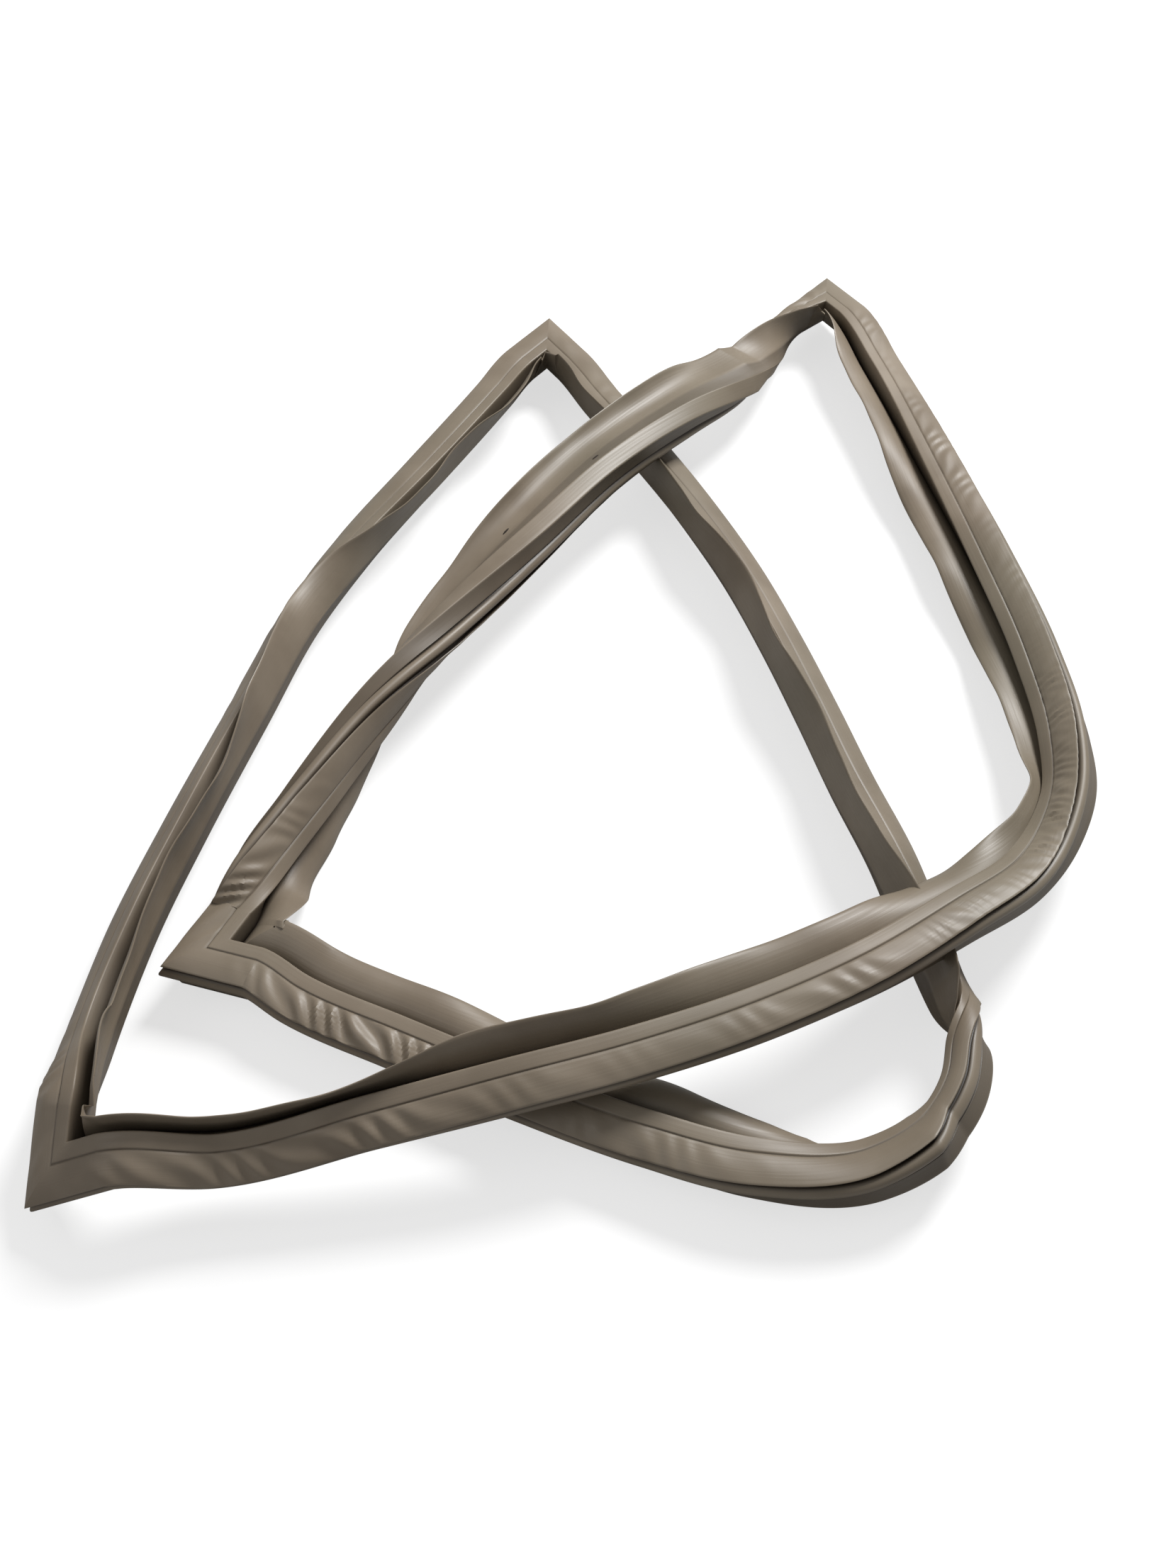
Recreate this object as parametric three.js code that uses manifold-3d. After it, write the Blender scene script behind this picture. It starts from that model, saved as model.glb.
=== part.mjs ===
// Magnetic door gasket of a refrigerator, off its door and lying folded on a flat surface.
// One closed ring of soft PVC profile, mitred and welded at four corners, with a flexible
// magnet strip loose in the pocket of each of its four sides. Millimetres, +Z up.
import * as THREE from "three";
import Module from "manifold-3d";

// Profile, seen along the ring: a runs from the outer to the inner side, b from back to front.
const stripWidth = 11; // flat back strip that lies against the door
const depth = 21; // back strip to sealing face
const faceWidth = 8.5; // flat sealing face over the magnet
const faceInset = 6.5; // how far the sealing face reaches past the back strip on the inner side
const bellowsWidth = 12.5; // thin outer part of the front
const bellowsDrop = 2.6;
const bellowsCrown = 0.6;
const ribRadius = 3.2; // round rib on the outer side
const ribHeight = 13.6;
const ribNeck = 1.6; // how deep the grooves above and below the rib cut in
const sideLean = 2.8; // how far the side wall leans out towards the rib
const wallThickness = 1.1;
const cornerChamfer = 0.8;
const flapLength = 19;
const flapRoot = 1.8;
const flapTip = 0.9;
const flapRootSide = 8; // from the back strip's inner edge to the flap
const flapRootHeight = 3.5;
const flapSteps = 5;
const bellowsSteps = 4;
const ribSteps = 5;

// Magnet strip and its pocket
const magnetWidth = 7;
const magnetThickness = 2.4;
const magnetClearance = 0.3;

// Vent slits from outside into the hollow, and from the hollow into the magnet pocket
const ventWidth = 1.2;
const ventLength = 5;
const ventsPerSide = 2;

// Ring
const cornerStub = 24; // straight length at each weld
const stepLength = 70; // longest stretch between two sections, less where the ring turns or rolls
const stepTurn = 26; // degrees
const stepRoll = 32; // degrees
const waveLength = 118; // slack flap edge
const waveAngle = 7;

// The ring's line runs along the back strip's inner edge, this high in the profile
const lineHeight = 10;

// Corners in order round the ring: place, direction of the inner bisector, how far the inner
// side is raised, angle between the two sides, and the flap's angle before and after the weld.
const corners = [
  { at: [-220, -218, 20], heading: 50, rise: 38, open: 86, flap: [20, 45] },
  { at: [-27, 370, 10], heading: -92, rise: 0, open: 88, flap: [0, 20] },
  { at: [-177, -113, 10], heading: 24, rise: 0, open: 80, flap: [25, 25] },
  { at: [163, 420, 12], heading: -100, rise: 5, open: 84, flap: [-10, 20] },
];

// Line of each side between its corners: x, y, height, roll and flap angle
const sides = [
  [
    [-222, -150, 20, 60, 45],
    [-206, -70, 20, 62, 45],
    [-184, 25, 20, 60, 50],
    [-162, 103, 20, 45, 65],
    [-134, 168, 16, 15, 30],
    [-96, 255, 17, -5, -20],
    [-60, 325, 15, -5, -15],
  ],
  [
    [-2, 320, 10, 0, 20],
    [22, 278, 10, 0, 20],
    [46, 232, 10, -10, 20],
    [80, 155, 19, -40, 20],
    [110, 60, 22, -50, 15],
    [133, -10, 19, -40, 10],
    [150, -60, 14, -25, 10],
    [162, -112, 15, -30, 10],
    [174, -160, 20, -60, 0],
    [176, -195, 20, -45, 10],
    [160, -218, 18, -10, 10],
    [130, -228, 16, 25, 15],
    [70, -222, 12, 20, 20],
    [27, -205, 11, 12, 20],
    [-30, -180, 10, 8, 20],
    [-85, -155, 10, 6, 25],
    [-130, -133, 10, 4, 25],
  ],
  [
    [-162, -72, 12, -12, 25],
    [-146, -30, 16, -35, 25],
    [-122, 26, 20, -85, 10],
    [-88, 90, 28, -135, 0],
    [-44, 160, 34, -160, 0],
    [-2, 222, 38, -180, 10],
    [45, 282, 37, -205, 10],
    [92, 340, 30, -250, 0],
  ],
  [
    [184, 345, 12, 10, 20],
    [202, 240, 14, -5, 20],
    [219, 154, 16, -20, 20],
    [234, 70, 18, -35, 20],
    [243, 12, 20, -45, 20],
    [242, -22, 21, -45, 20],
    [230, -52, 24, -35, 20],
    [206, -82, 32, -20, 10],
    [169, -108, 41, -5, 10],
    [122, -130, 45, 5, 15],
    [73, -148, 42, 12, 20],
    [18, -166, 42, 18, 25],
    [-35, -184, 40, 24, 25],
    [-92, -200, 32, 30, 25],
    [-155, -214, 24, 34, 25],
  ],
];

// Middle of the magnet strip in the profile
const magnetA = faceInset - wallThickness - magnetClearance - magnetWidth / 2;
const magnetB = depth - wallThickness - magnetClearance - magnetThickness / 2;

const up = new THREE.Vector3(0, 0, 1);
const radians = THREE.MathUtils.degToRad;
const degrees = THREE.MathUtils.radToDeg;

// Side wall's place at a height above the back strip
function sideWallAt(height) {
  return -stripWidth - (sideLean * height) / (ribHeight - ribRadius);
}

// Outline of the profile, anticlockwise, with the flap at the given angle
function profileOutline(flapAngle) {
  const points = [];
  const add = (a, b) => points.push([a, b]);
  add(-stripWidth, 0);
  add(0, 0);
  const leaf = [];
  let a = flapRootSide;
  let b = flapRootHeight;
  for (let i = 0; i <= flapSteps; i++) {
    const angle = radians(flapAngle) * (0.7 + (0.6 * i) / flapSteps);
    const thickness = flapRoot + ((flapTip - flapRoot) * i) / flapSteps;
    leaf.push({ a, b, angle, thickness });
    a += (Math.cos(angle) * flapLength) / flapSteps;
    b += (Math.sin(angle) * flapLength) / flapSteps;
  }
  for (const p of leaf) add(p.a, p.b);
  for (const p of leaf.reverse())
    add(p.a - Math.sin(p.angle) * p.thickness, p.b + Math.cos(p.angle) * p.thickness);
  add(faceInset, depth - cornerChamfer);
  add(faceInset - cornerChamfer, depth);
  const faceEnd = faceInset - faceWidth;
  add(faceEnd, depth);
  for (let i = 0; i <= bellowsSteps; i++) {
    const t = i / bellowsSteps;
    const crown = bellowsCrown * Math.sin(Math.PI * 0.8 * t);
    add(faceEnd - 0.6 - bellowsWidth * t, depth - 0.3 + crown - bellowsDrop * t * t);
  }
  const neckA = sideWallAt(ribHeight - ribRadius) + ribNeck;
  add(neckA - 0.3, ribHeight + ribRadius + 0.3);
  for (let i = 0; i <= ribSteps; i++) {
    const angle = Math.PI / 2 - (Math.PI * i) / ribSteps;
    add(neckA - 0.7 - ribRadius * Math.cos(angle), ribHeight + ribRadius * Math.sin(angle));
  }
  add(neckA - 0.3, ribHeight - ribRadius - 0.4);
  add(sideWallAt(ribHeight - ribRadius - 0.9), ribHeight - ribRadius - 0.9);
  return points;
}

// Hollow behind the pocket
function chamberOutline() {
  const inner = faceInset - wallThickness;
  const pocketFloor = magnetB - magnetThickness / 2 - magnetClearance - wallThickness;
  const faceEnd = faceInset - faceWidth;
  const neck = sideWallAt(ribHeight - ribRadius) + ribNeck + wallThickness;
  const roof = depth - wallThickness;
  return [
    [-stripWidth + wallThickness, wallThickness],
    [-wallThickness, wallThickness],
    [inner - 0.4, flapRootHeight + wallThickness],
    [inner, pocketFloor],
    [faceEnd - wallThickness, pocketFloor],
    [faceEnd - wallThickness, roof - 0.5],
    [faceEnd - bellowsWidth / 2, roof - bellowsDrop / 3],
    [neck, roof - bellowsDrop],
    [neck, ribHeight - ribRadius],
  ];
}

function rectangle(centreA, centreB, width, thickness) {
  const x = width / 2;
  const y = thickness / 2;
  return [
    [centreA - x, centreB - y],
    [centreA + x, centreB - y],
    [centreA + x, centreB + y],
    [centreA - x, centreB + y],
  ];
}

function magnetOutline() {
  return rectangle(magnetA, magnetB, magnetWidth, magnetThickness);
}

function pocketOutline() {
  const room = 2 * magnetClearance;
  return rectangle(magnetA, magnetB, magnetWidth + room, magnetThickness + room);
}

// Smooth curve through rows of numbers, one key for each row
function curveThrough(keys, rows, t) {
  const slopes = rows.map((row, i) => {
    const before = Math.max(i - 1, 0);
    const after = Math.min(i + 1, rows.length - 1);
    const ends = before === i || after === i;
    return row.map((value, k) => {
      if (ends) return (rows[after][k] - rows[before][k]) / (keys[after] - keys[before]);
      const h0 = keys[i] - keys[before];
      const h1 = keys[after] - keys[i];
      return (((value - rows[before][k]) / h0) * h1 + ((rows[after][k] - value) / h1) * h0) / (h0 + h1);
    });
  });
  let i = 0;
  while (i < keys.length - 2 && t > keys[i + 1]) i++;
  const h = keys[i + 1] - keys[i];
  const s = (t - keys[i]) / h;
  return rows[i].map(
    (value, k) =>
      (2 * s ** 3 - 3 * s ** 2 + 1) * value +
      (s ** 3 - 2 * s ** 2 + s) * h * slopes[i][k] +
      (3 * s ** 2 - 2 * s ** 3) * rows[i + 1][k] +
      (s ** 3 - s ** 2) * h * slopes[i + 1][k],
  );
}

// Inner and front directions of a profile that runs along a tangent, rolled about it
function profileFrame(tangent, roll) {
  const side = tangent.clone().cross(up).normalize();
  const over = side.clone().cross(tangent);
  const c = Math.cos(radians(roll));
  const s = Math.sin(radians(roll));
  return {
    inner: side.clone().multiplyScalar(c).addScaledVector(over, s),
    front: over.clone().multiplyScalar(c).addScaledVector(side, -s),
  };
}

// Square section of a stub, in the plane of its corner
function weldFrame(tangent, front) {
  return { inner: tangent.clone().cross(front), front: front.clone() };
}

function rollOf(tangent, front) {
  const side = tangent.clone().cross(up).normalize();
  return degrees(Math.atan2(-front.dot(side), front.dot(side.cross(tangent))));
}

function cornerFrame(corner) {
  const heading = radians(corner.heading);
  const rise = radians(corner.rise);
  const bisector = new THREE.Vector3(
    Math.cos(heading) * Math.cos(rise),
    Math.sin(heading) * Math.cos(rise),
    Math.sin(rise),
  );
  const across = up.clone().cross(bisector).normalize();
  const half = radians(corner.open / 2);
  const along = bisector.clone().multiplyScalar(Math.cos(half));
  const turn = across.clone().multiplyScalar(Math.sin(half));
  return {
    at: new THREE.Vector3(...corner.at),
    inner: bisector.clone().divideScalar(Math.sin(half)),
    front: bisector.clone().cross(across),
    arriving: turn.clone().sub(along),
    leaving: turn.clone().add(along),
    flap: corner.flap,
  };
}

const nearest = (angle, to) => angle + 360 * Math.round((to - angle) / 360);

// Sections of one side, from its first stub to its last, closer together where it turns or rolls
function sideStations(from, to, points) {
  const start = from.at.clone().addScaledVector(from.leaving, cornerStub);
  const end = to.at.clone().addScaledVector(to.arriving, -cornerStub);
  const startRoll = nearest(rollOf(from.leaving, from.front), points[0][3]);
  const endRoll = nearest(rollOf(to.arriving, to.front), points[points.length - 1][3]);
  const rows = [
    [...from.at.toArray(), startRoll, from.flap[1]],
    [...start.toArray(), startRoll, from.flap[1]],
    ...points,
    [...end.toArray(), endRoll, to.flap[0]],
    [...to.at.toArray(), endRoll, to.flap[0]],
  ];
  const keys = [0];
  for (let i = 1; i < rows.length; i++)
    keys.push(keys[i - 1] + Math.hypot(...[0, 1, 2].map((k) => rows[i][k] - rows[i - 1][k])));
  const first = keys[1];
  const last = keys[keys.length - 2];
  const place = (t) => new THREE.Vector3(...curveThrough(keys, rows, t));
  const tangentAt = (t) => place(t + 0.5).sub(place(t - 0.5)).normalize();

  const samples = Math.ceil((last - first) / 2);
  const at = (i) => first + ((last - first) * i) / samples;
  const effort = [0];
  for (let i = 1; i <= samples; i++) {
    const bend = degrees(tangentAt(at(i)).angleTo(tangentAt(at(i - 1))));
    const roll = curveThrough(keys, rows, at(i))[3] - curveThrough(keys, rows, at(i - 1))[3];
    effort.push(effort[i - 1] + (at(i) - at(i - 1)) / stepLength + bend / stepTurn + Math.abs(roll) / stepRoll);
  }
  const count = Math.ceil(effort[samples]);
  const stations = [];
  let i = 0;
  for (let n = 0; n <= count; n++) {
    const wanted = (effort[samples] * n) / count;
    while (i < samples && effort[i] < wanted) i++;
    const t = at(i);
    const row = curveThrough(keys, rows, t);
    const inside = n > 0 && n < count;
    const wave = inside ? waveAngle * Math.sin((2 * Math.PI * t) / waveLength) : 0;
    let frame = profileFrame(tangentAt(t), row[3]);
    if (n === 0) frame = weldFrame(from.leaving, from.front);
    if (n === count) frame = weldFrame(to.arriving, to.front);
    stations.push({
      at: new THREE.Vector3(row[0], row[1], row[2]),
      ...frame,
      flap: row[4] + wave,
    });
  }
  return stations;
}

const frames = corners.map(cornerFrame);
const stationsOfSides = sides.map((points, i) =>
  sideStations(frames[i], frames[(i + 1) % frames.length], points),
);

// Whole ring: each corner's mitre, then the sections of the side that leaves it
const ring = frames.flatMap((corner, i) => [
  { ...corner, flap: (corner.flap[0] + corner.flap[1]) / 2 },
  ...stationsOfSides[i],
]);

function placeInProfile(station, a, b) {
  return station.at
    .clone()
    .addScaledVector(station.inner, a)
    .addScaledVector(station.front, b - lineHeight);
}

// Closed or open-ended skin over a row of sections, with flat caps on open ends
function loft(stations, outlineOf, closed) {
  const rows = stations.map((station) =>
    outlineOf(station.flap).map(([a, b]) => placeInProfile(station, a, b)),
  );
  const size = rows[0].length;
  const positions = rows.flat().flatMap((p) => p.toArray());
  const index = [];
  const spans = closed ? rows.length : rows.length - 1;
  for (let i = 0; i < spans; i++)
    for (let k = 0; k < size; k++) {
      const a = i * size + k;
      const b = i * size + ((k + 1) % size);
      const next = ((i + 1) % rows.length) * size;
      const c = next + ((k + 1) % size);
      const d = next + k;
      index.push(a, c, b, a, d, c);
    }
  if (!closed)
    for (let k = 1; k < size - 1; k++) {
      const end = (rows.length - 1) * size;
      index.push(0, k, k + 1, end, end + k + 1, end + k);
    }
  return { positions, index };
}

const wasm = await Module();
wasm.setup();

function solidOf({ positions, index }) {
  return new wasm.Manifold(
    new wasm.Mesh({
      numProp: 3,
      vertProperties: new Float32Array(positions),
      triVerts: new Uint32Array(index),
    }),
  );
}

function geometryOf(solid) {
  const mesh = solid.getMesh();
  const geometry = new THREE.BufferGeometry();
  geometry.setAttribute("position", new THREE.BufferAttribute(mesh.vertProperties, 3));
  geometry.setIndex(new THREE.BufferAttribute(mesh.triVerts, 1));
  geometry.computeVertexNormals();
  return geometry;
}

// Box that cuts a slit across the profile at a section, from one height to another
function slit(station, a, low, high) {
  const along = station.front.clone().cross(station.inner).normalize().multiplyScalar(ventWidth / 2);
  const corners = rectangle(a, (low + high) / 2, ventLength, high - low);
  const ends = [-1, 1].map((way) =>
    corners.map(([x, y]) => placeInProfile(station, x, y).addScaledVector(along, way)),
  );
  const positions = ends.flat().flatMap((p) => p.toArray());
  const index = [0, 1, 2, 0, 2, 3, 4, 6, 5, 4, 7, 6];
  for (let k = 0; k < 4; k++) {
    const next = (k + 1) % 4;
    index.push(k, 4 + next, next, k, 4 + k, 4 + next);
  }
  return solidOf({ positions, index });
}

function ventSlits() {
  return stationsOfSides.flatMap((stations) => {
    const outside = [];
    for (let n = 1; n <= ventsPerSide; n++) {
      const station = stations[Math.round((stations.length * n) / (ventsPerSide + 1))];
      outside.push(slit(station, flapRootSide / 2, -flapRootHeight, 2 * flapRootHeight));
    }
    const pocketFloor = magnetB - magnetThickness / 2 - magnetClearance;
    const intoPocket = slit(
      stations[0],
      magnetA,
      pocketFloor - 2 * wallThickness,
      pocketFloor + magnetClearance / 2,
    );
    return [...outside, intoPocket];
  });
}

function profileSolid() {
  const hollows = [chamberOutline, pocketOutline].map((outline) => solidOf(loft(ring, outline, true)));
  return [...hollows, ...ventSlits()].reduce(
    (solid, cut) => solid.subtract(cut),
    solidOf(loft(ring, profileOutline, true)),
  );
}

const softPvc = new THREE.MeshStandardMaterial({ color: 0x7d7366, roughness: 0.5, metalness: 0 });
const bondedFerrite = new THREE.MeshStandardMaterial({ color: 0x2a2725, roughness: 0.75, metalness: 0.1 });

const gasket = new THREE.Group();

const profile = new THREE.Mesh(geometryOf(profileSolid()), softPvc);
profile.name = "gasket_profile";
gasket.add(profile);

const sideNames = ["left", "long_inner", "back", "long_outer"];
stationsOfSides.forEach((stations, i) => {
  const strip = new THREE.Mesh(geometryOf(solidOf(loft(stations, magnetOutline, false))), bondedFerrite);
  strip.name = `magnet_strip_${sideNames[i]}`;
  gasket.add(strip);
});

// The part stands on z = 0 with its box centred over the origin
const box = new THREE.Box3().setFromObject(profile);
const centre = box.getCenter(new THREE.Vector3());
gasket.position.set(-centre.x, -centre.y, -box.min.z);

export default gasket;
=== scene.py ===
import math

import bmesh
import bpy
import numpy as np
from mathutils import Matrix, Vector


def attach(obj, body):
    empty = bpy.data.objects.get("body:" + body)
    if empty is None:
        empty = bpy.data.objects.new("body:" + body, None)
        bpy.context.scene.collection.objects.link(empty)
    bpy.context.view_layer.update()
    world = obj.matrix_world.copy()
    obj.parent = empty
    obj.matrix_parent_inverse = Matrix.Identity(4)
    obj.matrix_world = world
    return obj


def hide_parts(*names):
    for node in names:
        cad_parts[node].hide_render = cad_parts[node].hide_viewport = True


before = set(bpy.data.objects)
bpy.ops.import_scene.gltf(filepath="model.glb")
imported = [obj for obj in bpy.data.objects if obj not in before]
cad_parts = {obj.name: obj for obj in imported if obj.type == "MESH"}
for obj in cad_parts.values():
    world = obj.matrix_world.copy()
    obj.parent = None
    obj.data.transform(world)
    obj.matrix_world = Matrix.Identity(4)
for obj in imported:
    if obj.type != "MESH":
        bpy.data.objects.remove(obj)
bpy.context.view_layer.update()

mm = 0.001

# The section of the soft profile, in mm, seen along the ring: a runs from the outer to the
# inner side, b from the back strip to the sealing face.
profile = {
    "stripWidth": 11,
    "stripSteps": (0.06, 0.25, 0.5, 0.75, 0.94),
    "stripHollow": 0.1,
    "depth": 21,
    "faceWidth": 7,
    "faceInset": 6.5,  # how far the face's inner edge lies inward of the strip's
    "faceSteps": (0, 0.1, 0.25, 0.5, 0.75, 0.9, 1),
    "faceCrown": 0.12,
    "faceRound": (0.8, 0.3),  # rounded off at its inner and outer edge
    "edgeHeight": 0.9,  # height of the rounded edges
    "bellowsWidth": 14,  # the thin outer front
    "bellowsSteps": 20,
    "bellowsSink": 0.3,  # how far it starts below the face
    "bellowsDrop": 2.2,
    "bellowsCrown": 0.6,
    "crownShare": 0.8,  # how much of the arch lies before the lip
    "seamWidth": 0.6,
    "ribRadius": 3.2,
    "ribSteps": 11,
    "ribHeight": 13.0,
    "ribNeck": 1.1,
    "ribOut": 0.7,
    "sideLean": 2.8,
    "sideHollow": 0.3,
    "sideSteps": (0.15, 0.4, 0.65, 0.88),
    "wallBow": 0.25,
    "wallSteps": (0, 0.2, 0.4, 0.6, 0.8, 1),
    "lowerSteps": (0.05, 0.2, 0.35, 0.5, 0.65, 0.8),
    "slotGap": 0.4,
    "flapLength": 21,
    "flapSteps": 14,
    "flapRoot": 1.8,  # thickness at the root and the tip
    "flapTip": 0.9,
    "flapRootSide": 7.6,
    "flapRootHeight": 7,
    "flapRest": 70,  # angle at which the flap springs from the wall
    "flapSpring": 0.7,
    "edgeBend": 9,
    "tipSteps": (0.25, 0.5, 0.75),
    "tipSwell": 0.5,
}

# Points that round the edges between these parts: steps from the edge in a and b, and painted
# shade with grime
roundings = {
    "face": [(-0.1, -0.45, 0), (-0.35, -0.12, 0)],
    "seam": [(-0.05, -0.1, 0.2), (-0.3, -0.4, 0.5)],
    "lip": [(-0.25, -0.35, 0), (-0.05, -0.8, 0.9)],
    "underLip": [(0.5, -0.75, 1)],
    "aboveRib": [(-0.1, 0.35, 1)],
    "belowRib": [(-0.3, -0.3, 1)],
    "sideTop": [(0.293, -0.6, 1)],
    "strip": [(-0.05, 0.45, 0), (0.3, 0.08, 0)],
    "stripEnd": [(-0.1, 0.02, 0)],
}

# Share of painted shade with grime: on the rib it grows away from the crown, less a clear middle
shadeAndGrimeDepth = {
    "face": 0.2,
    "seam": 0.3,
    "rib": (4, 0.9),
    "side": 0.45,
    "sideTop": 0.5,
    "lower": 0.4,
    "rootSteps": 4,
}

ring = {
    "origin": (-8.449, -98.613, 6.55),  # from the route's own zero to the part's, in mm
    "lineHeight": 10,  # height of the line in the section
    "cornerStub": 24,
    "spacing": 1.3,
    "tangentStep": 0.5,
    "waveLength": 118,  # slow sway of the flap's angle
    "waveAngle": 7,
    "edgeWaves": [(0.6, 83), (0.25, 37)],  # waves of the flap's edge: height, pitch
    "flapFade": 30,
    "pinchFade": 14,
    "sharpAngle": 38,
}

corners = [
    {"at": (-218, -223, 18), "heading": 43, "rise": 38, "open": 74, "flap": (72, 46)},
    {"at": (-27, 369, 10), "heading": -92, "rise": -4, "open": 74, "flap": (66, 84)},
    {"at": (-176, -116, 10), "heading": 24, "rise": 0, "open": 80, "flap": (34, 34)},
    {"at": (163, 419, 12), "heading": -98, "rise": 5, "open": 72, "flap": (50, 50)},
]

# Line of each side between its corners: x, y, height, roll and flap angle
sides = {
    "sideLeft": [
        (-220, -165, 17, 42, 40),
        (-211, -100, 16, 42, 40),
        (-197, -40, 16, 42, 42),
        (-177, 35, 16, 42, 54),
        (-157, 108, 15, 36, 100),
        (-131, 168, 14, 20, 66),
        (-96, 236, 13, 10, 62),
        (-57, 314, 12, 4, 62),
    ],
    "sideLongInner": [
        (5, 310, 10, 4, 86),
        (37, 250, 11, 12, 84),
        (63, 194, 13, 20, 80),
        (83, 146, 14, 26, 76),
        (102, 89, 14, 28, 76),
        (117, 36, 14, 28, 76),
        (130, -13, 14, 28, 76),
        (144, -58, 14, 32, 72),
        (157, -112, 15, 50, 60),
        (164, -143, 17, 52, 66),
        (168, -170, 20, -46, 130),
        (163, -190, 20, -52, 150),
        (148, -210, 17, -44, 140),
        (120, -223, 12, -28, 0),
        (70, -221, 12, -4, -16),
        (27, -206, 11, 10, -20),
        (-30, -183, 10, 8, -12),
        (-84, -159, 10, 6, 8),
        (-131, -137, 10, 4, 26),
    ],
    "sideBack": [
        (-160, -72, 15, -46, 30),
        (-141, -30, 18, -66, 14),
        (-115, 24, 22, -90, 0),
        (-80, 86, 30, -146, -4),
        (-35, 151, 38, -184, 0),
        (8, 209, 43, -198, 2),
        (55, 264, 40, -212, 14),
        (104, 324, 28, -256, 60),
    ],
    "sideLongOuter": [
        (189, 345, 12, 8, 34),
        (212, 240, 14, -10, 22),
        (229, 154, 16, -28, 24),
        (242, 70, 18, -40, 40),
        (245, 12, 20, -50, 66),
        (241, -22, 21, -56, 96),
        (228, -51, 24, -46, 80),
        (205, -82, 30, -26, 30),
        (169, -110, 38, -14, 12),
        (124, -138, 39, -3, 22),
        (73, -160, 36, 5, 34),
        (18, -179, 36, 13, 48),
        (-35, -194, 37, 20, 58),
        (-92, -207, 33, 30, 68),
        (-155, -220, 25, 34, 78),
    ],
}

# Lengths where a kink pinches the profile flat: from, to, width left
pinches = {"sideLongInner": [(546, 628, 0.55)], "sideBack": [(520, 640, 0.62)]}
# Lengths where the flap is tucked in: from, to, length left
shortFlaps = {"sideLongInner": [(548, 680, 0.35)]}

# Wrinkles pressed into the thin outer front: from and to along the side, depth, pitch, skew
ripples = {
    "sideLeft": [(0, 90, 0.6, 11, 6), (250, 420, 0.35, 23, 9)],
    "sideLongInner": [(690, 800, 0.5, 13, 8), (790, 963, 1.6, 12, 11), (0, 180, 0.25, 19, 7)],
    "sideBack": [(0, 110, 1.0, 10, 8), (180, 420, 0.7, 31, 12), (520, 640, 0.9, 14, 9)],
    "sideLongOuter": [
        (15, 330, 0.35, 11.5, 12),
        (320, 600, 0.5, 6.8, 6),
        (370, 540, 0.35, 7.9, -5),
        (600, 860, 0.35, 14, 12),
        (820, 976, 1.0, 15, 12),
    ],
}

rippleShape = {
    "fade": 25,
    "wander": (0.35, 0.6),  # uneven pitch: share of the pitch, and how slowly it changes
    "swell": (0.4, 2.3),  # uneven depth, in the same way
    "across": (0.02, 0.9, 0.7),  # spread over the front: start, share, blunting
}


def unit(v):
    return v / np.linalg.norm(v, axis=-1, keepdims=True)


def curveThrough(keys, rows, at):
    # Smooth curve through rows of numbers, one key for each row
    slopes = np.zeros_like(rows)
    slopes[0] = (rows[1] - rows[0]) / (keys[1] - keys[0])
    slopes[-1] = (rows[-1] - rows[-2]) / (keys[-1] - keys[-2])
    for i in range(1, len(rows) - 1):
        before, after = keys[i] - keys[i - 1], keys[i + 1] - keys[i]
        slopes[i] = (
            (rows[i] - rows[i - 1]) / before * after + (rows[i + 1] - rows[i]) / after * before
        ) / (before + after)
    i = np.clip(np.searchsorted(keys, at, side="right") - 1, 0, len(keys) - 2)
    h = (keys[i + 1] - keys[i])[:, None]
    s = (at - keys[i])[:, None] / h
    return (
        (2 * s**3 - 3 * s**2 + 1) * rows[i]
        + (s**3 - 2 * s**2 + s) * h * slopes[i]
        + (3 * s**2 - 2 * s**3) * rows[i + 1]
        + (s**3 - s**2) * h * slopes[i + 1]
    )


def window(at, begin, finish, fade):
    return np.clip((at - begin) / fade, 0, 1) * np.clip((finish - at) / fade, 0, 1)


def cornerFrame(corner):
    heading, rise = math.radians(corner["heading"]), math.radians(corner["rise"])
    bisector = np.array(
        [math.cos(heading) * math.cos(rise), math.sin(heading) * math.cos(rise), math.sin(rise)]
    )
    across = unit(np.cross([0, 0, 1], bisector))
    half = math.radians(corner["open"] / 2)
    along, turn = bisector * math.cos(half), across * math.sin(half)
    return {
        "at": np.array(corner["at"], float),
        "inner": bisector / math.sin(half),
        "front": np.cross(bisector, across),
        "arriving": turn - along,
        "leaving": turn + along,
        "flap": corner["flap"],
    }


def rollOf(tangent, front):
    side = unit(np.cross(tangent, [0, 0, 1]))
    return math.degrees(math.atan2(-front @ side, front @ np.cross(side, tangent)))


def nearestTurn(angle, to):
    return angle + 360 * round((to - angle) / 360)


def narrowed(at, stretches, fade):
    left = np.ones(len(at))
    for begin, finish, share in stretches:
        left -= (1 - share) * window(at, begin, finish, fade)
    return left


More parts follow.
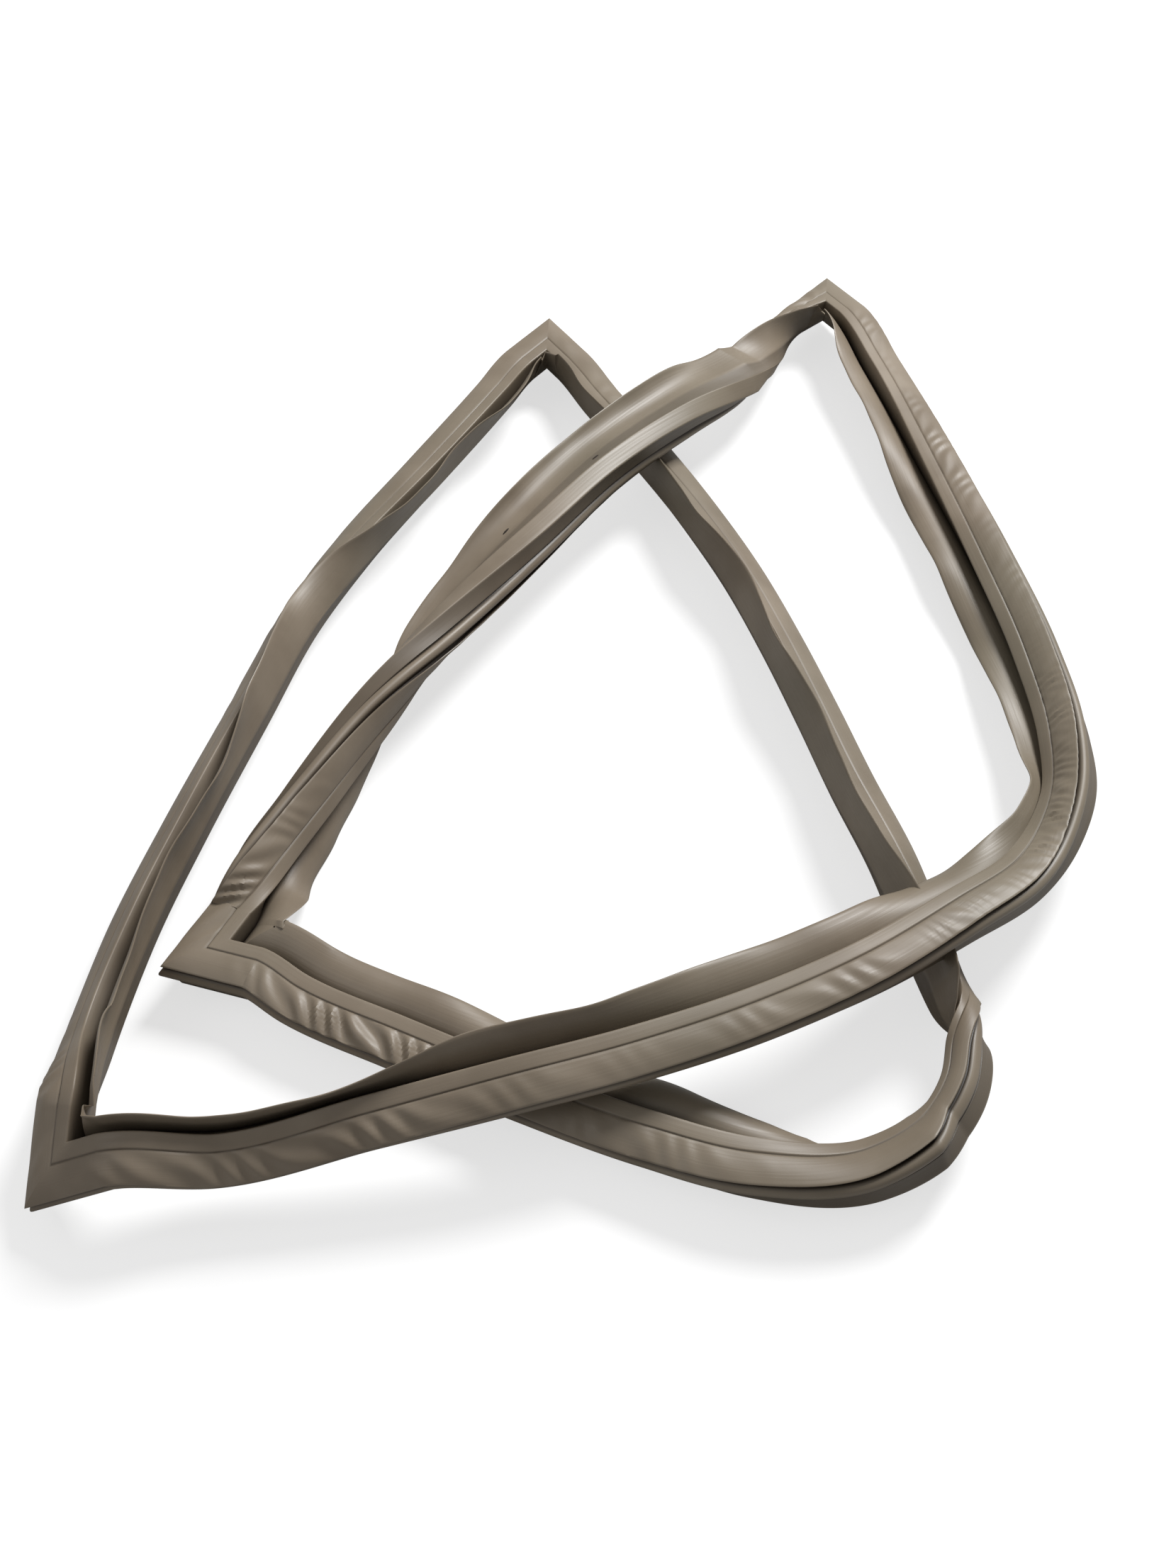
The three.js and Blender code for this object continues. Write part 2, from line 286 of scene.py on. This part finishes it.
def sideStations(name, start, end, route):
    # Places, directions and flap angles of the sections between two corners
    stub, step = ring["cornerStub"], ring["tangentStep"]
    first = start["at"] + start["leaving"] * stub
    last = end["at"] - end["arriving"] * stub
    startRoll = nearestTurn(rollOf(start["leaving"], start["front"]), route[0][3])
    endRoll = nearestTurn(rollOf(end["arriving"], end["front"]), route[-1][3])
    rows = np.array(
        [
            (*start["at"], startRoll, start["flap"][1]),
            (*first, startRoll, start["flap"][1]),
            *route,
            (*last, endRoll, end["flap"][0]),
            (*end["at"], endRoll, end["flap"][0]),
        ],
        float,
    )
    keys = np.r_[0, np.cumsum(np.linalg.norm(np.diff(rows[:, :3], axis=0), axis=1))]
    at = np.linspace(keys[1], keys[-2], int((keys[-2] - keys[1]) / ring["spacing"]))
    row = curveThrough(keys, rows, at)
    ahead = curveThrough(keys, rows, at + step)[:, :3]
    behind = curveThrough(keys, rows, at - step)[:, :3]
    tangent = unit(ahead - behind)
    side = unit(np.cross(tangent, [0, 0, 1]))
    over = np.cross(side, tangent)
    roll = np.radians(row[:, 3:4])
    inner = side * np.cos(roll) + over * np.sin(roll)
    front = over * np.cos(roll) - side * np.sin(roll)
    for n, corner, way in ((0, start, "leaving"), (-1, end, "arriving")):
        front[n] = corner["front"]
        inner[n] = np.cross(corner[way], corner["front"])
    sway = np.sin(2 * math.pi * at / ring["waveLength"])
    sway[0] = sway[-1] = 0
    edge = sum(high * np.sin(2 * math.pi * at / pitch) for high, pitch in ring["edgeWaves"])
    return {
        "at": row[:, :3],
        "inner": inner,
        "front": front,
        "flap": row[:, 4] + ring["waveAngle"] * sway,
        "length": at,
        "width": narrowed(at, pinches.get(name, []), ring["pinchFade"]),
        "reach": narrowed(at, shortFlaps.get(name, []), ring["flapFade"]),
        "edge": edge * window(at, at[0], at[-1], ring["flapFade"]),
    }


def sectionPoints(flap, edge, reach):
    # Outline of the profile for each flap angle, from the bottom of the slot round to it
    # again, with how much painted shade and grime darken each point and how far across the thin
    # front
    p = profile
    count = len(flap)
    points, shadeAndGrimeMask, band = [], [], []

    def add(a, b, deep=0.0, across=0.0):
        points.append(np.stack([np.broadcast_to(a, count), np.broadcast_to(b, count)], 1))
        shadeAndGrimeMask.append(deep)
        band.append(across)

    def addEdge(name, a, b, across=0.0):
        for aside, up, deep in roundings[name]:
            add(a + aside, b + up, deep, across)

    depth, strip, faceInset = p["depth"], p["stripWidth"], p["faceInset"]
    low = p["flapRootHeight"] + p["flapRoot"] + p["slotGap"]
    # painted shade with some grime, darkest at the bottom of the magnet pocket
    for t in p["wallSteps"]:  # inner wall of the magnet pocket
        a = faceInset - p["wallBow"] * math.sin(math.pi * t)
        add(a, low + (depth - p["edgeHeight"] - low) * t, 1 - (1 - shadeAndGrimeDepth["face"]) * t)
    addEdge("face", faceInset, depth)

    faceEnd = faceInset - p["faceWidth"]
    faceStart, seamEdge = faceInset - p["faceRound"][0], faceEnd + p["faceRound"][1]
    for t in p["faceSteps"]:  # sealing face, a little crowned
        add(faceStart + (seamEdge - faceStart) * t, depth + p["faceCrown"] * math.sin(math.pi * t))
    addEdge("seam", faceEnd, depth)

    def frontPlace(t):
        crown = p["bellowsCrown"] * math.sin(math.pi * p["crownShare"] * t)
        height = depth - p["bellowsSink"] + crown - p["bellowsDrop"] * t * t
        return faceEnd - p["seamWidth"] - p["bellowsWidth"] * t, height

    a, b = frontPlace(0)
    add(a, b - p["bellowsSink"], shadeAndGrimeDepth["seam"])
    for i in range(1, p["bellowsSteps"] + 1):  # thin outer front
        t = i / p["bellowsSteps"]
        add(*frontPlace(t), 0, t)
    outer, rim = frontPlace(1)
    addEdge("lip", outer, rim, 1)

    neck = p["ribNeck"] - strip - p["sideLean"]
    addEdge("underLip", neck, rim)
    addEdge("aboveRib", neck, p["ribHeight"] + p["ribRadius"])
    # painted shade on both sides of the round rib, its crown left light
    growth, clearMiddle = shadeAndGrimeDepth["rib"]
    for i in range(p["ribSteps"] + 1):  # round rib
        t = i / p["ribSteps"]
        a = neck - p["ribOut"] - p["ribRadius"] * math.sin(math.pi * t)
        b = p["ribHeight"] + p["ribRadius"] * math.cos(math.pi * t)
        add(a, b, max(0.0, abs(t - 0.5) * growth - clearMiddle))
    bottom = p["ribHeight"] - p["ribRadius"]
    addEdge("belowRib", neck, bottom)

    def sideWall(height):
        return -strip - p["sideLean"] * height / bottom

    wallTop = bottom - p["edgeHeight"]
    addEdge("sideTop", sideWall(wallTop), bottom)
    add(sideWall(wallTop), wallTop, shadeAndGrimeDepth["sideTop"])
    for t in p["sideSteps"]:
        height = wallTop * (1 - t)
        a = sideWall(height) + p["sideHollow"] * math.sin(math.pi * t)
        add(a, height, shadeAndGrimeDepth["side"])
    addEdge("strip", -strip, 0)
    for t in p["stripSteps"]:
        add(-strip * (1 - t), -p["stripHollow"] * math.sin(math.pi * t))
    addEdge("stripEnd", 0, 0)
    for t in p["lowerSteps"]:  # lower wall on the inner side
        b = p["flapRootHeight"] * t + p["wallBow"] * math.sin(math.pi * t)
        add(p["flapRootSide"] * t, b, shadeAndGrimeDepth["lower"])

    steps = p["flapSteps"]
    a = np.full(count, float(p["flapRootSide"]))
    b = np.full(count, float(p["flapRootHeight"]))
    leaf = []
    for i in range(steps + 1):
        t = i / steps
        bend = p["flapSpring"] * (p["flapRest"] - flap) * (1 - 2 * t)
        angle = np.radians(flap + bend + p["edgeBend"] * edge * t**2)
        leaf.append((a, b, angle, p["flapRoot"] + (p["flapTip"] - p["flapRoot"]) * t))
        a = a + np.cos(angle) * p["flapLength"] * reach / steps
        b = b + np.sin(angle) * p["flapLength"] * reach / steps

    def addLeaf(place, through, deep=0.0, beyond=0.0):
        a, b, angle, thickness = place
        add(
            a - np.sin(angle) * thickness * through + np.cos(angle) * beyond,
            b + np.cos(angle) * thickness * through + np.sin(angle) * beyond,
            deep,
        )

    for place in leaf:
        addLeaf(place, 0)
    for turn in p["tipSteps"]:
        addLeaf(leaf[-1], turn, 0, p["tipSwell"] * math.sin(math.pi * turn))
    # the flap's back, with painted shade darkening it towards the root
    for i, place in reversed(list(enumerate(leaf))):
        addLeaf(place, 1, max(0.0, 1 - i / shadeAndGrimeDepth["rootSteps"]))
    return np.stack(points, 1), np.array(shadeAndGrimeMask), np.array(band)


def rippleHeight(name, along, band):
    # Height of the wrinkles over the thin outer front, in mm, for each section and point
    height = np.zeros((len(along), len(band)))
    inset, share, blunting = rippleShape["across"]
    arch = np.sin(math.pi * np.clip(band * share + inset, 0, 1))
    spread = np.where(band > 0, arch**blunting, 0)
    wander, wanderPitch = rippleShape["wander"]
    swell, swellPitch = rippleShape["swell"]
    for start, end, depth, pitch, skew in ripples[name]:
        uneven = wander * pitch * np.sin(along / (wanderPitch * pitch))
        phase = (along + uneven)[:, None] + skew * band
        strength = 1 - swell + swell * np.sin(along / (swellPitch * pitch) + 1)
        strength = depth * strength * window(along, start, end, rippleShape["fade"])
        height += strength[:, None] * spread * np.sin(2 * math.pi * phase / pitch)
    return height


def placed(shape, at, inner, front):
    return at + shape[..., :1] * inner + (shape[..., 1:] - ring["lineHeight"]) * front


def sweep(shapes, stations):
    shapes[..., 0] *= stations["width"][:, None]
    return placed(shapes, *(stations[key][:, None] for key in ("at", "inner", "front")))


def sideGrid(name, start, end, route):
    # Places of all points of a side, section by section, from mitre to mitre
    stations = sideStations(name, start, end, route)
    shapes, shadeAndGrimeMask, band = sectionPoints(stations["flap"], stations["edge"], stations["reach"])
    middle = sweep(shapes, stations)
    stub, along = ring["cornerStub"], stations["length"]
    stubSteps = int(stub / ring["spacing"])
    ends = []
    for corner, row in ((start, middle[0]), (end, middle[-1])):
        shape = sectionPoints(np.array([sum(corner["flap"]) / 2]), np.zeros(1), np.ones(1))[0][0]
        mitre = placed(shape, corner["at"], corner["inner"], corner["front"])
        t = np.linspace(0, 1, stubSteps + 1)[:-1, None, None]
        ends.append(mitre * (1 - t) + row * t)
    grid = np.concatenate([ends[0], middle, ends[1][::-1]])
    stubAlong = np.linspace(0, stub, stubSteps + 1)[:-1]
    distance = np.r_[stubAlong, along, along[-1] + stub - stubAlong[::-1]]
    front = np.pad(stations["front"], ((stubSteps, stubSteps), (0, 0)), "edge")
    grid += rippleHeight(name, distance, band)[..., None] * front[:, None]
    return (grid + np.array(ring["origin"])) * mm, distance * mm, shadeAndGrimeMask


def tubeFrom(grid, values):
    # A closed tube from a grid of places: its rows are the sections, and both ends are capped
    rows, columns = grid.shape[:2]
    bm = bmesh.new()
    bmesh.ops.create_grid(bm, x_segments=rows - 1, y_segments=columns - 1, size=1)
    layers = {key: bm.verts.layers.float.new(key) for key in values}
    chains = ([], [])
    for v in bm.verts:
        i = round((v.co.x + 1) / 2 * (rows - 1))
        k = round((v.co.y + 1) / 2 * (columns - 1))
        v.co = grid[i, k]
        for key, layer in layers.items():
            v[layer] = values[key][i, k]
        if k in (0, columns - 1):
            chains[k > 0].append(v)
    seam = []
    for chain in chains:
        members = set(chain)
        seam += [e for v in chain for e in v.link_edges if e.other_vert(v) in members]
    bmesh.ops.bridge_loops(bm, edges=list(dict.fromkeys(seam)))
    bmesh.ops.holes_fill(bm, edges=[e for e in bm.edges if e.is_boundary], sides=0)
    bmesh.ops.recalc_face_normals(bm, faces=bm.faces)
    return bm


def pieceFrom(bm, name, finish):
    mesh = bpy.data.meshes.new(name)
    bm.to_mesh(mesh)
    bm.free()
    mesh.materials.append(finish)
    piece = bpy.data.objects.new(name, mesh)
    bpy.context.scene.collection.objects.link(piece)
    return piece


def makeSide(name, start, end, route, finish):
    grid, distance, shadeAndGrimeMask = sideGrid(name, start, end, route)
    shape = grid.shape[:2]
    around = np.r_[0, np.cumsum(np.linalg.norm(np.diff(grid[len(grid) // 2], axis=0), axis=1))]
    values = {"shadeAndGrimeMask": shadeAndGrimeMask, "along": distance[:, None], "around": around}
    bm = tubeFrom(grid, {key: np.broadcast_to(value, shape) for key, value in values.items()})
    sharp = math.radians(ring["sharpAngle"])
    for e in bm.edges:
        e.smooth = not (e.is_manifold and e.calc_face_angle() > sharp)
    for f in bm.faces:
        f.smooth = len(f.verts) < 5  # all but the caps in the mitres
    piece = pieceFrom(bm, name, finish)
    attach(piece, "root")
    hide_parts("gasket_profile")
    print("side", name, shape[0], "sections,", len(piece.data.polygons), "faces")
    return grid, distance


# Vent slits that show in the back, as dark ellipsoids of painted shade: distance along the side,
# column of the section; half sizes
vents = {
    "side": "sideBack",
    "slits": [(302, 79), (374, 72)],
    "size": (2.8, 0.8, 0.4),
    "segments": (24, 12),
}


def makeVent(grid, distance, along, column, finish):
    i = int(np.argmin(np.abs(distance - along * mm)))
    tangent = unit(grid[i + 1, column] - grid[i - 1, column])
    across = unit(grid[i, column + 1] - grid[i, column - 1])
    axes = np.stack([tangent, across, unit(np.cross(tangent, across))])
    axes *= np.array(vents["size"])[:, None] * mm
    u, v = vents["segments"]
    bm = bmesh.new()
    bmesh.ops.create_uvsphere(bm, u_segments=u, v_segments=v, radius=1)
    for vert in bm.verts:
        vert.co = grid[i, column] + np.array(vert.co) @ axes
    bmesh.ops.recalc_face_normals(bm, faces=bm.faces)
    piece = pieceFrom(bm, "ventSlitShade", finish)
    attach(piece, "root")


# The flexible strip magnet in the pocket behind the sealing face
magnet = {
    "width": 6,
    "thickness": 2.2,
    "middle": (2.2, 18.2),
    "short": 12,  # how far it ends before the weld
    "every": 3,
    "nodes": {
        "sideLeft": "magnet_strip_left",
        "sideLongInner": "magnet_strip_long_inner",
        "sideBack": "magnet_strip_back",
        "sideLongOuter": "magnet_strip_long_outer",
    },
}


def makeMagnet(name, start, end, route, finish):
    stations = sideStations(name, start, end, route)
    short = int(magnet["short"] / ring["spacing"])
    a, b = magnet["middle"]
    w, t = magnet["width"] / 2, magnet["thickness"] / 2
    outline = np.array([(a - w, b - t), (a + w, b - t), (a + w, b + t), (a - w, b + t)])
    shapes = np.repeat(outline[None], len(stations["at"]), 0)
    grid = sweep(shapes, stations)[short : -short : magnet["every"]]
    bm = tubeFrom((grid + np.array(ring["origin"])) * mm, {})
    piece = pieceFrom(bm, name + "Magnet", finish)
    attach(piece, "root")
    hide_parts(magnet["nodes"][name])


def nodeIn(tree, kind, place, **values):
    node = tree.nodes.new(kind)
    node.location = place
    for key, value in values.items():
        if hasattr(node, key):
            setattr(node, key, value)
        else:
            node.inputs[key.replace("_", " ")].default_value = value
    return node


def newMaterial(name):
    made = bpy.data.materials.new(name)
    made.use_nodes = True
    made.node_tree.nodes.clear()
    return made


def noiseOn(tree, vector, place, scale, detail):
    node = nodeIn(tree, "ShaderNodeTexNoise", place, Scale=scale, Detail=detail)
    tree.links.new(vector, node.inputs["Vector"])
    return node.outputs["Fac"]


agedVinyl = {
    "base": (0.198, 0.157, 0.113, 1),
    "pale": (0.262, 0.214, 0.160, 1),
    # near black for painted shade in the recesses, with some grime
    "shadeAndGrime": (0.022, 0.015, 0.009, 1),
    "green": (0.180, 0.158, 0.114, 1),
    "blotches": 22.0,
    "drifts": 7.0,
    "grain": 2600.0,
    "streaks": (12, 900, 1),  # along, around
    "blotchRange": (0.35, 0.68),
    "driftRange": (0.45, 0.72, 0, 0.6),
    "shadeAndGrimeShare": 0.92,
    "streakRoughness": (0.3, 0.7, 0.40, 0.52),
    "streakBump": (0.25, 0.0003),
    "grainBump": (0.12, 0.0001),
}


def makeFineGrain():
    # Fine grain of vinyl and ferrite, as a height over the surface
    group = bpy.data.node_groups.new("fineGrain", "ShaderNodeTree")
    face = group.interface
    face.new_socket("Vector", in_out="INPUT", socket_type="NodeSocketVector")
    face.new_socket("Scale", in_out="INPUT", socket_type="NodeSocketFloat")
    face.new_socket("Detail", in_out="INPUT", socket_type="NodeSocketFloat")
    face.new_socket("Height", in_out="OUTPUT", socket_type="NodeSocketFloat")
    given = nodeIn(group, "NodeGroupInput", (-300, 0))
    noise = nodeIn(group, "ShaderNodeTexNoise", (0, 0))
    out = nodeIn(group, "NodeGroupOutput", (300, 0))
    for key in ("Vector", "Scale", "Detail"):
        group.links.new(given.outputs[key], noise.inputs[key])
    group.links.new(noise.outputs["Fac"], out.inputs["Height"])
    return group


def grainOn(tree, vector, place, scale, detail):
    node = nodeIn(
        tree, "ShaderNodeGroup", place, node_tree=fineGrain, Scale=scale, Detail=detail
    )
    tree.links.new(vector, node.inputs["Vector"])
    return node.outputs["Height"]


def bumpIn(tree, place, height, strength, distance):
    node = nodeIn(tree, "ShaderNodeBump", place, Strength=strength, Distance=distance)
    tree.links.new(height, node.inputs["Height"])
    return node


def rangeIn(tree, place, value, low, high, least=0.0, most=1.0):
    node = nodeIn(tree, "ShaderNodeMapRange", place, From_Min=low, From_Max=high)
    node.inputs["To Min"].default_value, node.inputs["To Max"].default_value = least, most
    tree.links.new(value, node.inputs["Value"])
    return node.outputs["Result"]


def surfaceFrom(tree, shader, place):
    out = nodeIn(tree, "ShaderNodeOutputMaterial", place)
    tree.links.new(shader.outputs[0], out.inputs["Surface"])


def mixIn(tree, place, factor, a, b):
    node = nodeIn(tree, "ShaderNodeMix", place, data_type="RGBA")
    tree.links.new(factor, node.inputs["Factor"])
    for socket, value in (("A", a), ("B", b)):
        if isinstance(value, tuple):
            node.inputs[socket].default_value = value
        else:
            tree.links.new(value, node.inputs[socket])
    return node.outputs["Result"]


def softPvcMaterial():
    made = newMaterial("softPvc")
    tree = made.node_tree
    link = tree.links.new
    look = agedVinyl
    coords = nodeIn(tree, "ShaderNodeTexCoord", (-1400, 0)).outputs["Object"]
    along = nodeIn(tree, "ShaderNodeAttribute", (-1400, -300), attribute_name="along")
    around = nodeIn(tree, "ShaderNodeAttribute", (-1400, -480), attribute_name="around")
    lane = nodeIn(tree, "ShaderNodeCombineXYZ", (-1200, -380))
    link(along.outputs["Fac"], lane.inputs["X"])
    link(around.outputs["Fac"], lane.inputs["Y"])
    stretch = nodeIn(tree, "ShaderNodeMapping", (-1020, -380), Scale=look["streaks"])
    link(lane.outputs[0], stretch.inputs["Vector"])
    streaks = noiseOn(tree, stretch.outputs[0], (-840, -380), 1.0, 3.0)
    blotch = noiseOn(tree, coords, (-840, 120), look["blotches"], 4.0)
    drift = noiseOn(tree, coords, (-840, -130), look["drifts"], 2.0)
    grain = grainOn(tree, coords, (-840, -640), look["grain"], 2.0)

    tone = rangeIn(tree, (-640, 120), blotch, *look["blotchRange"])
    paler = mixIn(tree, (-440, 120), tone, look["base"], look["pale"])
    shift = rangeIn(tree, (-640, -130), drift, *look["driftRange"])
    cooler = mixIn(tree, (-240, 60), shift, paler, look["green"])
    # painted shade with some grime: the mask mixes in near black in the slot, the pocket, the
    # creases by the lip and rib, and at the flap's root
    deep = nodeIn(tree, "ShaderNodeAttribute", (-440, -200), attribute_name="shadeAndGrimeMask")
    depth = nodeIn(tree, "ShaderNodeMath", (-240, -200), operation="MULTIPLY")
    depth.inputs[1].default_value = look["shadeAndGrimeShare"]
    link(deep.outputs["Fac"], depth.inputs[0])
    shadedAndDirty = mixIn(tree, (-40, 0), depth.outputs[0], cooler, look["shadeAndGrime"])

    gloss = rangeIn(tree, (-440, -420), streaks, *look["streakRoughness"])
    ribbing = bumpIn(tree, (-240, -520), streaks, *look["streakBump"])
    skin = bumpIn(tree, (-40, -520), grain, *look["grainBump"])
    link(ribbing.outputs["Normal"], skin.inputs["Normal"])

    shader = nodeIn(tree, "ShaderNodeBsdfPrincipled", (200, 0), IOR=1.5)
    link(shadedAndDirty, shader.inputs["Base Color"])
    link(gloss, shader.inputs["Roughness"])
    link(skin.outputs["Normal"], shader.inputs["Normal"])
    surfaceFrom(tree, shader, (480, 0))
    return made


ferrite = {
    "dark": (0.018, 0.016, 0.015, 1),
    "grey": (0.040, 0.036, 0.033, 1),
    "grain": 900.0,
    "bump": (0.3, 0.0001),
    "roughness": 0.7,
}


def bondedFerriteMaterial():
    made = newMaterial("bondedFerrite")
    tree = made.node_tree
    link = tree.links.new
    coords = nodeIn(tree, "ShaderNodeTexCoord", (-800, 0)).outputs["Object"]
    grain = grainOn(tree, coords, (-600, 0), ferrite["grain"], 3.0)
    shade = mixIn(tree, (-380, 80), grain, ferrite["dark"], ferrite["grey"])
    bump = bumpIn(tree, (-380, -160), grain, *ferrite["bump"])
    roughness = ferrite["roughness"]
    shader = nodeIn(tree, "ShaderNodeBsdfPrincipled", (-120, 0), Roughness=roughness)
    link(shade, shader.inputs["Base Color"])
    link(bump.outputs["Normal"], shader.inputs["Normal"])
    surfaceFrom(tree, shader, (160, 0))
    return made


def ventShadowMaterial():
    made = newMaterial("ventShadow")
    tree = made.node_tree
    shader = nodeIn(tree, "ShaderNodeBsdfPrincipled", (-200, 0), Roughness=0.9)
    shader.inputs["Base Color"].default_value = agedVinyl["shadeAndGrime"]
    surfaceFrom(tree, shader, (0, 0))
    return made


stage = {
    "size": 6.0,
    "floor": (0.45, 0.45, 0.45, 1),
    "glow": 0.66,  # what the camera alone sees, so that the floor is near white
    "camera": (0, -524.4, 625),
    "pitch": 50,
    "sensor": 36,
    "focal": 2200,  # in pixels of the 2212 high picture
    "imageHeight": 2212,
    "clip": (0.01, 50),
    "world": 0.26,
    "lamps": {
        "key": ((0.9, 1.1, 1.7), 0.8, 54),  # place, size, power
        "fill": ((-1.3, -0.6, 1.5), 1.6, 5),
    },
}


def paleFloorMaterial():
    made = newMaterial("paleFloor")
    tree = made.node_tree
    link = tree.links.new
    matte = nodeIn(tree, "ShaderNodeBsdfDiffuse", (-200, 100))
    matte.inputs["Color"].default_value = stage["floor"]
    glow = nodeIn(tree, "ShaderNodeEmission", (-200, -60))
    rays = nodeIn(tree, "ShaderNodeLightPath", (-600, -60))
    seen = nodeIn(tree, "ShaderNodeMath", (-400, -60), operation="MULTIPLY")
    seen.inputs[1].default_value = stage["glow"]
    link(rays.outputs["Is Camera Ray"], seen.inputs[0])
    link(seen.outputs[0], glow.inputs["Strength"])
    both = nodeIn(tree, "ShaderNodeAddShader", (0, 0))
    link(matte.outputs[0], both.inputs[0])
    link(glow.outputs[0], both.inputs[1])
    surfaceFrom(tree, both, (200, 0))
    return made


def makeFloor():
    bm = bmesh.new()
    bmesh.ops.create_grid(bm, x_segments=1, y_segments=1, size=stage["size"])
    floor = pieceFrom(bm, "floor", paleFloorMaterial())


def makeLamp(name, place, size, power):
    data = bpy.data.lights.new(name, "AREA")
    data.shape = "DISK"
    data.size = size
    data.energy = power
    lamp = bpy.data.objects.new(name, data)
    lamp.location = place
    lamp.rotation_mode = "QUATERNION"
    lamp.rotation_quaternion = (-Vector(place)).to_track_quat("-Z", "Y")  # aimed at the middle
    bpy.context.scene.collection.objects.link(lamp)


def makeWorld():
    world = bpy.data.worlds.new("studio")
    world.use_nodes = True
    sky = world.node_tree.nodes["Background"]
    sky.inputs["Color"].default_value = (1, 1, 1, 1)
    sky.inputs["Strength"].default_value = stage["world"]
    bpy.context.scene.world = world


def makeCamera():
    data = bpy.data.cameras.new("camera")
    data.lens = stage["sensor"] * stage["focal"] / stage["imageHeight"]
    data.sensor_width = stage["sensor"]
    data.clip_start, data.clip_end = stage["clip"]
    camera = bpy.data.objects.new("camera", data)
    camera.location = (Vector(stage["camera"]) + Vector(ring["origin"])) * mm
    camera.rotation_euler = (math.radians(90 - stage["pitch"]), 0, 0)
    bpy.context.scene.collection.objects.link(camera)
    bpy.context.scene.camera = camera


print("finishes")
fineGrain = makeFineGrain()
softPvc = softPvcMaterial()
bondedFerrite = bondedFerriteMaterial()
ventShadow = ventShadowMaterial()

print("gasket")
cornerFrames = [cornerFrame(corner) for corner in corners]
for number, (name, route) in enumerate(sides.items()):
    start, end = cornerFrames[number], cornerFrames[(number + 1) % len(corners)]
    grid, distance = makeSide(name, start, end, route, softPvc)
    if name == vents["side"]:
        for along, column in vents["slits"]:
            makeVent(grid, distance, along, column, ventShadow)
    makeMagnet(name, start, end, route, bondedFerrite)

print("stage")
makeFloor()
makeWorld()
makeCamera()
for name, lamp in stage["lamps"].items():
    makeLamp(name, *lamp)
bpy.context.scene.view_settings.view_transform = "Standard"
